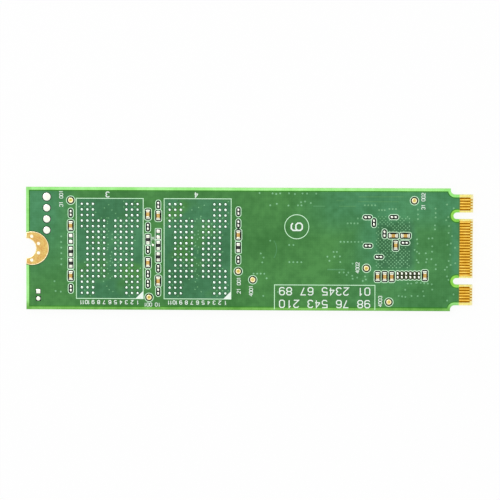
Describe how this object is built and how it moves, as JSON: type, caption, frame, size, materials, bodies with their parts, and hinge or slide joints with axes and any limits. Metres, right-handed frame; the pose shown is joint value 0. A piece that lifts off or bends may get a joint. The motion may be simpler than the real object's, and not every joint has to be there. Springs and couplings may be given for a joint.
{
  "type": "gumstick solid state drive",
  "caption": "Slim card-edge solid state drive: green circuit board with keyed gold contacts, a half-round screw notch, unfitted memory lands and small chip parts above, packages below.",
  "frame": {"origin": "under the middle of the card, at the level of the package faces that it lies on", "axes": "+X towards the edge connector, +Y across the card, +Z out of the sparsely fitted face"},
  "size_m": [0.08, 0.022, 0.0023],
  "materials": {
    "board_mask": "green solder mask over glass laminate, satin gloss",
    "gold_plate": "thin gold plating over copper",
    "solder_tin": "bright reflowed solder and tin plating",
    "capacitor_ceramic": "fired tan ceramic",
    "resistor_glaze": "black glass glaze",
    "package_mould": "black moulding compound, fine grain",
    "inductor_composite": "grey pressed metal powder",
    "crystal_ceramic": "dark fired ceramic",
    "crystal_steel": "nickel plated lid"
  },
  "bodies": {
    "root": {"circuit_board": "board_mask", "upper_edge_contacts": "gold_plate", "lower_edge_contacts": "gold_plate", "upper_mounting_pad": "gold_plate", "lower_mounting_pad": "gold_plate", "test_points": "gold_plate", "flash_lands_left": "solder_tin", "flash_lands_right": "solder_tin", "service_header_pads": "solder_tin", "jumper_pads": "solder_tin", "passive_pads": "solder_tin", "chip_capacitor_terminals": "solder_tin", "chip_resistor_terminals": "solder_tin", "bulk_capacitor_terminals": "solder_tin", "lower_capacitor_terminals": "solder_tin", "lower_resistor_terminals": "solder_tin", "inductor_terminals": "solder_tin", "regulator_leads": "solder_tin", "chip_capacitor_bodies": "capacitor_ceramic", "bulk_capacitor_bodies": "capacitor_ceramic", "lower_capacitor_bodies": "capacitor_ceramic", "chip_resistor_bodies": "resistor_glaze", "lower_resistor_bodies": "resistor_glaze", "flash_package_left": "package_mould", "flash_package_right": "package_mould", "controller_package": "package_mould", "buffer_memory_package": "package_mould", "regulator_bodies": "package_mould", "inductor_bodies": "inductor_composite", "crystal_base": "crystal_ceramic", "crystal_lid": "crystal_steel"}
  },
  "joints": []
}
